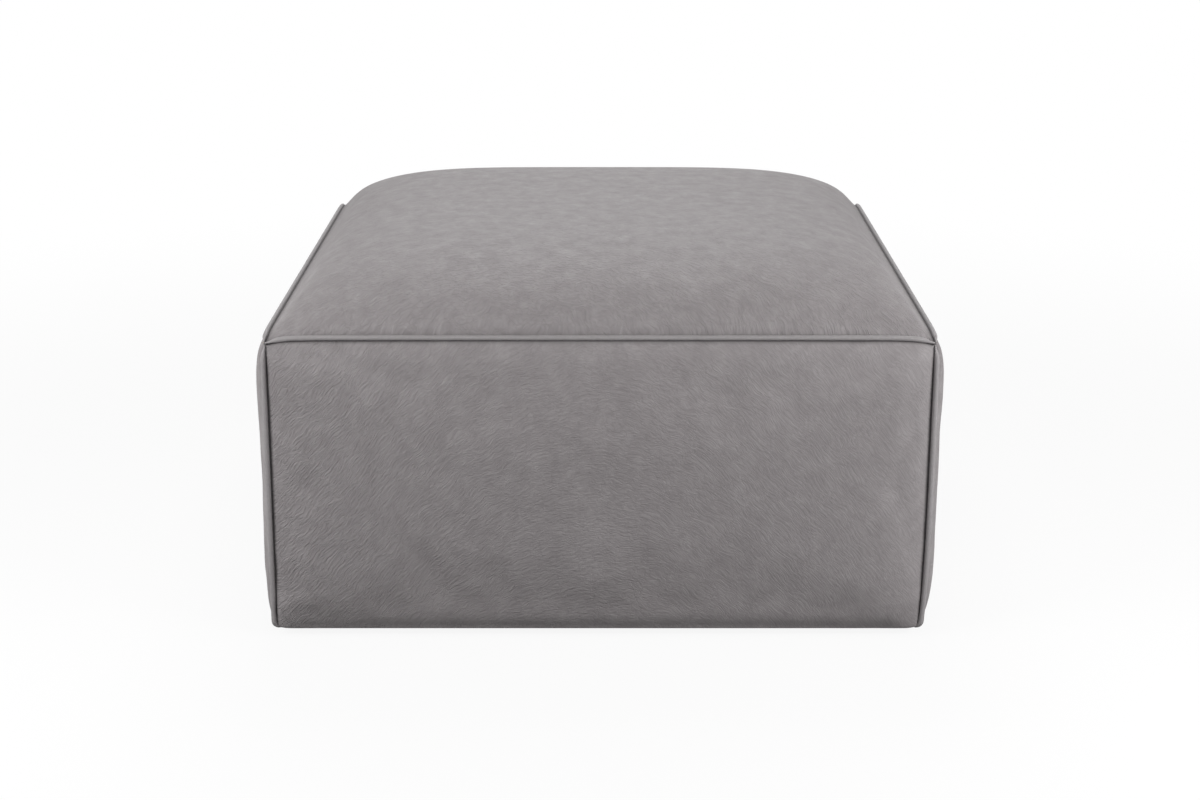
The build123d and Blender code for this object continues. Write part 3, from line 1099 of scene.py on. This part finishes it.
def tube_tree() -> NodeTree:
    """A round run along each path, pinched at both ends and lightly puckered."""
    tree = node_group("piping_run", {
        "Float": ("Radius", "Tip Length", "Tip Share", "Pucker Depth", "Pucker Length", "Step", "Seed"),
        "Material": ("Material",),
    })
    add = partial(add_node, tree)
    given = add("NodeGroupInput").outputs
    curve = stepped_curve(tree, given)
    walked = add("GeometryNodeSplineParameter").outputs
    left = add("ShaderNodeMath", {0: 1.0, 1: walked["Factor"]}, operation="SUBTRACT").outputs[0]
    share = add("ShaderNodeMath", {0: left, 1: walked["Factor"]}, operation="MINIMUM").outputs[0]
    whole = add("ShaderNodeMath", {0: walked["Length"], 1: walked["Factor"]}, operation="DIVIDE").outputs[0]
    gap = add("ShaderNodeMath", {0: share, 1: whole}, operation="MULTIPLY").outputs[0]
    width = add("ShaderNodeMapRange", {
        "Value": gap, "From Max": given["Tip Length"], "To Min": given["Tip Share"],
    }, interpolation_type="SMOOTHSTEP").outputs["Result"]
    profile = add("GeometryNodeCurvePrimitiveCircle", {
        "Resolution": 18, "Radius": given["Radius"],
    }).outputs["Curve"]
    mesh = add("GeometryNodeCurveToMesh", {
        "Curve": curve, "Profile Curve": profile, "Scale": width, "Fill Caps": True,
    }).outputs["Mesh"]
    place = add("GeometryNodeInputPosition").outputs["Position"]
    finer = add("ShaderNodeMath", {0: 1.0, 1: given["Pucker Length"]}, operation="DIVIDE").outputs[0]
    puckers = add("ShaderNodeTexNoise", {
        "Vector": place, "W": given["Seed"], "Scale": finer, "Detail": 1.0,
    }, noise_dimensions="4D").outputs["Fac"]
    puckers = add("ShaderNodeMath", {0: puckers, 1: 0.5}, operation="SUBTRACT").outputs[0]
    depth = add("ShaderNodeMath", {0: puckers, 1: given["Pucker Depth"]}, operation="MULTIPLY").outputs[0]
    outward = add("GeometryNodeInputNormal").outputs["Normal"]
    shift = add("ShaderNodeVectorMath", {0: outward, "Scale": depth}, operation="SCALE").outputs[0]
    mesh = add("GeometryNodeSetPosition", {"Geometry": mesh, "Offset": shift}).outputs["Geometry"]
    end_tree(tree, mesh, given["Material"])
    return tree


def strap_tree() -> NodeTree:
    """A flat strap along each path, lying level across its width."""
    tree = node_group("strap_run", {"Float": ("Width", "Thickness", "Step"), "Material": ("Material",)})
    add = partial(add_node, tree)
    given = add("NodeGroupInput").outputs
    curve = stepped_curve(tree, given)
    curve = add("GeometryNodeSetCurveNormal", {"Curve": curve}, mode="Z_UP").outputs["Curve"]
    profile = add("GeometryNodeCurvePrimitiveQuadrilateral", {
        "Width": given["Width"], "Height": given["Thickness"],
    }).outputs["Curve"]
    mesh = add("GeometryNodeCurveToMesh", {
        "Curve": curve, "Profile Curve": profile, "Fill Caps": True,
    }).outputs["Mesh"]
    end_tree(tree, mesh, given["Material"])
    return tree


def staple_tree() -> NodeTree:
    """Wire staples along each path, each one turned a little by chance."""
    tree = node_group("staple_run", {
        "Float": ("Pitch", "Crown", "Wire", "Turn"), "Int": ("Seed",), "Material": ("Material",),
    })
    add = partial(add_node, tree)
    given = add("NodeGroupInput").outputs
    curve = add("GeometryNodeMeshToCurve", {"Mesh": given["Geometry"]}).outputs["Curve"]
    spread = add("GeometryNodeCurveToPoints", {
        "Curve": curve, "Length": given["Pitch"],
    }, mode="LENGTH").outputs
    size = add("ShaderNodeCombineXYZ", {
        "X": given["Crown"], "Y": given["Wire"], "Z": given["Wire"],
    }).outputs[0]
    crown = add("GeometryNodeMeshCube", {"Size": size}).outputs["Mesh"]
    along = add("FunctionNodeAlignRotationToVector", {
        "Vector": spread["Tangent"],
    }, axis="X").outputs["Rotation"]
    less = add("ShaderNodeMath", {0: given["Turn"], 1: -1.0}, operation="MULTIPLY").outputs[0]
    chance = add("FunctionNodeRandomValue", {
        2: less, 3: given["Turn"], "Seed": given["Seed"],
    }, data_type="FLOAT").outputs[1]
    turn = add("ShaderNodeCombineXYZ", {"Z": chance}).outputs[0]
    turn = add("FunctionNodeEulerToRotation", {"Euler": turn}).outputs["Rotation"]
    turned = add("FunctionNodeRotateRotation", {
        "Rotation": along, "Rotate By": turn,
    }, rotation_space="GLOBAL").outputs["Rotation"]
    mesh = add("GeometryNodeInstanceOnPoints", {
        "Points": spread["Points"], "Instance": crown, "Rotation": turned,
    }).outputs["Instances"]
    end_tree(tree, mesh, given["Material"])
    return tree


@dataclass
class Piping:
    """The corded welts along every seam."""

    seams: Seams
    leather: PipingLeather = field(default_factory=PipingLeather)
    cord_share: float = 0.6
    tip_length: float = 16.0 * MM
    tip_share: float = 0.34
    proud: float = 0.8 * MM
    end_inset: float = 0.8
    head_drop: float = 1.1
    turn: float = 8.0 * MM
    sag: float = 1.6 * MM
    head_tuck: float = 2.2 * MM
    pucker_depth: float = 0.5 * MM
    pucker_length: float = 9.0 * MM
    step: float = 2.5 * MM
    path_points: int = 160
    turn_points: int = 10

    def straight(self, start: np.ndarray, end: np.ndarray) -> np.ndarray:
        """Points along a seam from one corner to the next, relaxed as the leather is."""
        share = np.linspace(0, 1, self.path_points)[:, None]
        return self.seams.relaxed(start + (end - start) * share, foot=False)

    def top_path(self, side: Side) -> np.ndarray:
        """The line of the welt along one side of the top."""
        seams = self.seams
        middle = side.outward * seams.reach + np.array([0, 0, seams.seam_level])
        reach = side.across * (seams.reach - self.end_inset * seams.piping_radius)
        return self.straight(middle - reach, middle + reach)

    def corner_path(self, corner: Corner) -> np.ndarray:
        """The line of the welt down one corner, turned in under the foot."""
        seams = self.seams
        outward, upward = np.array([*corner.value, 0]), np.array([0, 0, 1.0])
        upright = outward * (seams.reach + self.proud)
        knee = upright + upward * (seams.hem_level + seams.piping_radius + self.turn - self.sag)
        head = upright + upward * (seams.seam_level - self.head_drop * seams.piping_radius)
        angles = np.linspace(math.pi / 2, 0, self.turn_points, endpoint=False)[:, None]
        arc = knee - self.turn * (outward * (1 - np.cos(angles)) + upward * np.sin(angles))
        under = arc[0] - outward * self.tip_length
        run = self.straight(knee, head)
        # The head of the welt is caught under the top seam
        below_head = np.linalg.norm(run - run[-1], axis=1, keepdims=True)
        run -= self.head_tuck * np.exp(-((below_head / (0.5 * self.tip_length)) ** 2)) * outward
        return np.concatenate([[under], seams.relaxed(arc, foot=False), run])

    def build(self) -> None:
        """Makes each welt, and the cords inside them."""
        tree = tube_tree()
        leather = self.leather.material()
        paths = {f"top_piping_{side.label}": self.top_path(side) for side in Side}
        paths |= {f"corner_piping_{corner.label}": self.corner_path(corner) for corner in Corner}
        values = {
            "Radius": self.seams.piping_radius, "Tip Length": self.tip_length, "Tip Share": self.tip_share,
            "Pucker Depth": self.pucker_depth, "Pucker Length": self.pucker_length, "Step": self.step,
            "Seed": 0.0, "Material": leather,
        }
        for number, (node, path) in enumerate(paths.items()):
            mesh = grow(path_object(node, [path]), tree, values | {"Seed": float(number)})
            report_piece(place_object(node.replace("piping", "welt"), mesh, leather), self.leather.slot, node)
        cord = CORD.material()
        mesh = grow(path_object("cord_paths", list(paths.values())), tree, values | {
            "Radius": self.cord_share * self.seams.piping_radius, "Pucker Depth": 0.0, "Pucker Length": 1.0,
            "Step": 2 * self.step, "Material": cord,
        })
        report_piece(place_object("welt_cords", mesh, cord), CORD.slot, "piping_cords")


# Padding


@dataclass
class Padding:
    """The fibre and foam under the leather, each formed to what covers it."""

    seams: Seams
    cover: Cover
    gap: float = 0.4 * MM
    foam_round: float = 8.0 * MM
    foam_bevel: float = 70.0 * MM
    foam_drop: float = 12.0 * MM
    fibre_least: float = 9.0 * MM

    def under_leather(self, panel: LeatherPanel) -> np.ndarray:
        """The points just behind a panel's inner face, without the edges that turn in."""
        points = panel.points[panel.face]
        return points - grid_normals(points) * (self.seams.leather + self.gap)

    def foam_top(self, plan: np.ndarray, half: float, shoulder: float) -> np.ndarray:
        """The bevelled top of the foam block, its arrises eased to lie under the fibre.

        Args:
            plan: Places in plan from -1 to 1, rows by columns by two.
            half: Half the width of the block.
            shoulder: The level where the bevel starts.

        Returns:
            The grid of points.
        """
        inset = half * (1 - np.abs(plan).max(axis=2)) + self.foam_round / 4
        flat = self.foam_bevel + self.foam_round / 4
        blend = np.maximum(self.foam_round - np.abs(inset - flat), 0) / self.foam_round
        rise = np.minimum(inset, flat) - blend**2 * self.foam_round / 4
        ceiling = self.cover.top_level(half * plan[..., 0], half * plan[..., 1]) - self.fibre_least
        level = np.minimum(shoulder + rise, ceiling)
        return np.concatenate([half * plan, level[..., None]], axis=2)

    def build_seat(self) -> None:
        """Makes the foam block and the fibre that crowns it."""
        low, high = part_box("seat_foam")
        shoulder = self.seams.seam_level - self.foam_drop
        outer = self.under_leather(self.cover.panels["top_leather"])
        run = graded(outer.shape[0] - 1, self.cover.top_grading)
        plan = np.stack(np.meshgrid(run, run), axis=2)
        foam_top = self.foam_top(plan, high.x, shoulder)
        base = foam_top.copy()
        base[..., 2] = low.z
        foam = solid_piece("seat_foam_block", (foam_top, base), FOAM, FOAM.material(), "seat_foam")
        hollow = foam_top + np.array([0, 0, self.gap])
        fibre = solid_piece("seat_wadding", (outer, hollow), FIBRE, FIBRE.material(), "seat_fibre_wrap")

    def build_sides(self) -> None:
        """Makes the pad behind each side panel, flat against its board."""
        material = FIBRE.material()
        for side in Side:
            node = f"{side.label}_pad"
            low, high = (np.array(corner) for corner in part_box(node))
            outer = self.under_leather(self.cover.panels[f"{side.label}_leather"])
            middle = (low + high) / 2
            facing, along = (1, 0) if side.value[0] == 0 else (0, 1)
            for axis in (2, along):
                span = np.ptp(outer[..., axis]) / 2
                centre = (outer[..., axis].max() + outer[..., axis].min()) / 2
                half = (high[axis] - low[axis]) / 2
                outer[..., axis] = middle[axis] + (outer[..., axis] - centre) * half / span
            back = outer.copy()
            back[..., facing] = low[facing] if side.outward[facing] > 0 else high[facing]
            pad = solid_piece(f"{side.label}_wadding", (outer, back), FIBRE, material, node)

    def build(self) -> None:
        """Makes all the padding."""
        self.build_seat()
        self.build_sides()


# Suspension


@dataclass
class Suspension:
    """Woven webbing on the top rails, and the felt over it."""

    strap_width: float = 60.0 * MM
    strap_thickness: float = 1.6 * MM
    strap_pitch: float = 130.0 * MM
    strap_gap: float = 0.2 * MM
    straps: int = 5
    strap_step: float = 6.0 * MM
    wave_flatness: float = 1.6
    strap_points: int = 240
    fold: float = 18.0 * MM
    fold_points: int = 5
    felt_points: int = 81
    felt_sink: float = 0.2 * MM

    def strap_path(
        self,
        place: float,
        half: float,
        deck: float,
        first_over: int,
        lengthways: bool,
    ) -> np.ndarray:
        """The middle line of one strap, waved over and under the ones that cross it.

        Args:
            place: Where the strap lies across the seat.
            half: Half its length.
            deck: The level of the rails.
            first_over: Whether the first crossing goes over.
            lengthways: Whether the strap runs from front to back.

        Returns:
            The points of the line.
        """
        along = np.linspace(-half, half, self.strap_points)
        wave = np.cos(math.pi * (along / self.strap_pitch + first_over))
        middle = self.straps * self.strap_pitch / 2
        fade = np.clip((middle - np.abs(along)) / (self.strap_pitch / 2), 0, 1)
        over = 0.5 + 0.5 * np.clip(self.wave_flatness * wave, -1, 1)
        rise = (self.strap_thickness + self.strap_gap) * over * fade
        level = deck + self.strap_thickness / 2 + rise
        fixed = np.full(along.shape, place)
        return np.stack([fixed, along, level] if lengthways else [along, fixed, level], axis=1)

    def build_straps(self) -> None:
        """Makes both layers of webbing, with their folded ends."""
        tree = strap_tree()
        material = WEBBING.material()
        values = {
            "Width": self.strap_width, "Thickness": self.strap_thickness, "Step": self.strap_step,
            "Material": material,
        }
        places = [self.strap_pitch * (number - (self.straps - 1) / 2) for number in range(self.straps)]
        for node, lengthways in (("webbing_lengthways", True), ("webbing_crossways", False)):
            low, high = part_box(node)
            half = high.y if lengthways else high.x
            paths = []
            for number, place in enumerate(places):
                over = (number + lengthways) % 2
                paths.append(self.strap_path(place, half, low.z, over, lengthways))
                for sign in (-1, 1):
                    ends = np.linspace(half - self.fold, half, self.fold_points) * sign
                    level = np.full(ends.shape, low.z + 1.5 * self.strap_thickness + 0.5 * self.strap_gap)
                    fixed = np.full(ends.shape, place)
                    plan = [fixed, ends] if lengthways else [ends, fixed]
                    paths.append(np.stack([*plan, level], axis=1))
            name = node.replace("webbing", "straps")
            straps = place_object(name, grow(path_object(node, paths), tree, values), material)
            straps.data.shade_flat()
            report_piece(straps, WEBBING.slot, node)

    def build_felt(self) -> None:
        """Lays the felt on the webbing, a little sunk between the straps."""
        low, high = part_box("insulator_sheet")
        run = np.linspace(-1, 1, self.felt_points)
        u, v = np.meshgrid(run, run)
        x, y = high.x * u, high.y * v
        sunk = math.prod(1 - np.cos(2 * math.pi * place / self.strap_pitch) for place in (x, y)) / 4
        lower = np.stack([x, y, low.z - self.felt_sink * sunk], axis=2)
        upper = lower + np.array([0, 0, high.z - low.z])
        felt = solid_piece("felt_sheet", (upper, lower), FELT, FELT.material(), "insulator_sheet")

    def build(self) -> None:
        """Makes the webbing and the felt."""
        self.build_straps()
        self.build_felt()


# Frame


@dataclass
class TimberFrame:
    """The rails, posts, blocks and boards, whose CAD shapes are right as they are."""

    def grain_of(self, node: str) -> Grain:
        """The way the grain runs in a piece of timber, which is along its length."""
        low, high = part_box(node)
        return Grain(int(np.argmax(np.array(high) - np.array(low))))

    def build(self) -> None:
        """Dresses every timber and board node."""
        woods = {grain: (Timber(grain), Timber(grain).material()) for grain in Grain}
        board = BOARD.material()
        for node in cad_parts:
            if any(word in node for word in ("rail", "post", "brace", "upright", "blocks")):
                dress_node(node, *woods[self.grain_of(node)])
            elif node.endswith("_board"):
                dress_node(node, BOARD, board)


# Underside


@dataclass
class Underside:
    """The dust cloth with its staples, and the glides with their nails."""

    turned_edge: float = 14.0 * MM
    staple_pitch: float = 42.0 * MM
    staple_crown: float = 10.0 * MM
    staple_wire: float = 0.9 * MM
    staple_lift: float = 0.1 * MM
    staple_turn: float = 0.18
    staple_seed: int = 4
    sag: float = 2.5 * MM
    ripple: float = 0.5 * MM
    ripple_edge: int = 8
    rim_edge: int = 30
    cloth_thickness: float = 0.35 * MM
    cloth_points: int = 121

    def build_cloth(self) -> None:
        """Makes the cloth: turned in round its edge, and slack in the bays between its staples."""
        _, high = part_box("dust_cover")
        half = high.x
        steps = np.linspace(-1, 1, self.cloth_points)
        u, v = np.meshgrid(steps, steps)
        x, y = half * u, half * v
        bay = (1 - u**2) * (1 - v**2)
        ripples = [np.sin(math.pi * place / self.staple_pitch) ** 2 for place in (x, y)]
        ripple = ripples[0] * v**self.ripple_edge + ripples[1] * u**self.ripple_edge
        flat_rim = 1 - np.maximum(np.abs(u), np.abs(v)) ** self.rim_edge
        drop = self.sag * bay + self.ripple * ripple * flat_rim
        level = high.z - self.cloth_thickness
        lower = np.stack([x, y, level - drop], axis=2)
        upper = lower + np.array([0, 0, self.cloth_thickness])
        cloth = solid_piece("dust_cloth", (upper, lower), DUST_CLOTH, DUST_CLOTH.material(), "dust_cover")

    def build_staples(self) -> None:
        """Drives a line of staples along each edge of the cloth."""
        low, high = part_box("dust_cover")
        line = high.x - 0.6 * self.turned_edge
        level = low.z + self.staple_lift
        paths = []
        for side in Side:
            middle = side.outward * line + np.array([0, 0, level])
            reach = side.across * (line - self.staple_pitch / 2)
            paths.append(np.stack([middle - reach, middle + reach]))
        material = ZINC.material()
        values = {
            "Pitch": self.staple_pitch, "Crown": self.staple_crown, "Wire": self.staple_wire,
            "Turn": self.staple_turn, "Seed": self.staple_seed, "Material": material,
        }
        mesh = grow(path_object("staple_lines", paths), staple_tree(), values)
        staples = place_object("cloth_staples", mesh, material)
        staples.data.shade_flat()
        report_piece(staples, ZINC.slot)

    def build(self) -> None:
        """Makes the cloth and staples, and dresses the glides and nails."""
        self.build_cloth()
        self.build_staples()
        for node, finish in (("glides", GLIDE), ("glide_nails", ZINC)):
            dress_node(node, finish, finish.material())


# Studio


@dataclass(frozen=True)
class Lamp:
    """A square soft lamp that faces the stool, its size in metres and its power in watts."""

    name: str
    place: tuple[float, float, float]
    size: float
    power: float


@dataclass
class Studio:
    """The floor, the soft lamps and the camera."""

    camera_place: tuple[float, float, float] = (0.0, -2.609, 0.977)
    camera_pitch: float = 14.5
    lens: float = 61.55
    shift: float = -0.08
    room_strength: float = 0.15
    floor_half: float = 14.0
    floor_colour: str = "#383838"
    floor_seen_colour: str = "#f4f4f4"
    shadow_start: float = 0.7
    shadow_end: float = 2.2
    shadow_white: float = 0.9
    lamp_aim: tuple[float, float, float] = (0.0, 0.0, 0.2)
    lamps: tuple[Lamp, ...] = (
        Lamp("back_top_lamp", (0.0, 1.6, 2.4), 1.6, 31.0),
        Lamp("front_top_lamp", (0.0, -1.3, 1.25), 0.7, 0.9),
        Lamp("right_lamp", (1.25, -1.0, 0.68), 1.0, 15.6),
        Lamp("left_lamp", (-1.25, -1.0, 0.78), 1.0, 13.5),
        Lamp("left_top_lamp", (-1.3, -0.9, 1.7), 0.8, 1.4),
    )

    def add_lamp(self, lamp: Lamp) -> None:
        """Adds one of the lamps."""
        data = bpy.data.lights.new(lamp.name, "AREA")
        data.shape = "SQUARE"
        data.size = lamp.size
        data.energy = lamp.power
        placed = link_object(lamp.name, data)
        placed.location = lamp.place
        view = Vector(self.lamp_aim) - Vector(lamp.place)
        placed.rotation_euler = view.to_track_quat("-Z", "Y").to_euler()

    def build_world(self) -> None:
        """Fills the room with plain light and shows white behind the stool."""
        world = bpy.data.worlds.new("studio")
        world.use_nodes = True
        bpy.context.scene.world = world
        tree = world.node_tree
        seen = self.seen_by_viewer(tree)
        strength = add_node(tree, "ShaderNodeMapRange", {
            "Value": seen, "To Min": self.room_strength, "To Max": 1.0,
        }).outputs["Result"]
        fill_inputs(tree, tree.nodes["Background"], {"Color": (1.0, 1.0, 1.0, 1.0), "Strength": strength})

    def seen_by_viewer(self, tree: NodeTree) -> NodeSocket:
        """One where the ray comes from the camera, or from a gloss or glass that shows the room."""
        add = partial(add_node, tree)
        rays = add("ShaderNodeLightPath").outputs
        shine = add("ShaderNodeMath", {
            0: rays["Is Glossy Ray"], 1: rays["Is Transmission Ray"],
        }, operation="MAXIMUM").outputs[0]
        return add("ShaderNodeMath", {0: rays["Is Camera Ray"], 1: shine}, operation="MAXIMUM").outputs[0]

    def build_floor(self) -> None:
        """Lays a pale floor that looks white but keeps the stool's shadow."""
        material, tree, shader = blank_material("studio_floor_painted")
        add = partial(add_node, tree)
        seen = self.seen_by_viewer(tree)
        paint = add("ShaderNodeMix", {
            "Factor": seen, 6: linear(self.floor_colour), 7: linear(self.floor_seen_colour),
        }, data_type="RGBA").outputs[2]
        fill_inputs(tree, shader, {"Base Color": paint, "Roughness": 0.9, "Specular IOR Level": 0.1})
        glow = add("ShaderNodeEmission", {"Strength": 1.0}).outputs[0]
        # Near the stool the paint keeps a trace of its shadow, and further off it is plain white
        place = add("ShaderNodeNewGeometry").outputs["Position"]
        away = add("ShaderNodeVectorMath", {0: place}, operation="LENGTH").outputs["Value"]
        white = add("ShaderNodeMapRange", {
            "Value": away, "From Min": self.shadow_start, "From Max": self.shadow_end,
            "To Min": self.shadow_white, "To Max": 1.0,
        }, interpolation_type="SMOOTHSTEP").outputs["Result"]
        share = add("ShaderNodeMath", {0: seen, 1: white}, operation="MULTIPLY").outputs[0]
        mixed = add("ShaderNodeMixShader", {0: share, 1: shader.outputs[0], 2: glow}).outputs[0]
        fill_inputs(tree, tree.nodes["Material Output"], {"Surface": mixed})
        half = self.floor_half
        corners = [(-half, -half, 0), (half, -half, 0), (half, half, 0), (-half, half, 0)]
        mesh = bpy.data.meshes.new("studio_floor")
        mesh.from_pydata(corners, [], [(0, 1, 2, 3)])
        floor = place_object("studio_floor", mesh, material)

    def build_camera(self) -> None:
        """Sets up the camera in front of the stool, looking a little down."""
        data = bpy.data.cameras.new("camera")
        data.lens = self.lens
        data.shift_y = self.shift
        camera = link_object("camera", data)
        camera.location = self.camera_place
        camera.rotation_euler = (math.radians(90 - self.camera_pitch), 0.0, 0.0)
        bpy.context.scene.camera = camera

    def build(self) -> None:
        """Builds the whole studio."""
        bpy.context.scene.view_settings.view_transform = "Standard"
        self.build_world()
        self.build_floor()
        for lamp in self.lamps:
            self.add_lamp(lamp)
        self.build_camera()


def main() -> None:
    """Builds the stool and its studio in order."""
    logging.basicConfig(level=logging.INFO, format="%(name)s: %(message)s")
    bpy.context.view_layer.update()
    seams = Seams.from_frame()
    cover = Cover(seams)
    cover.build()
    Piping(seams).build()
    Padding(seams, cover).build()
    Suspension().build()
    TimberFrame().build()
    Underside().build()
    Studio().build()


if __name__ == "__main__":
    main()
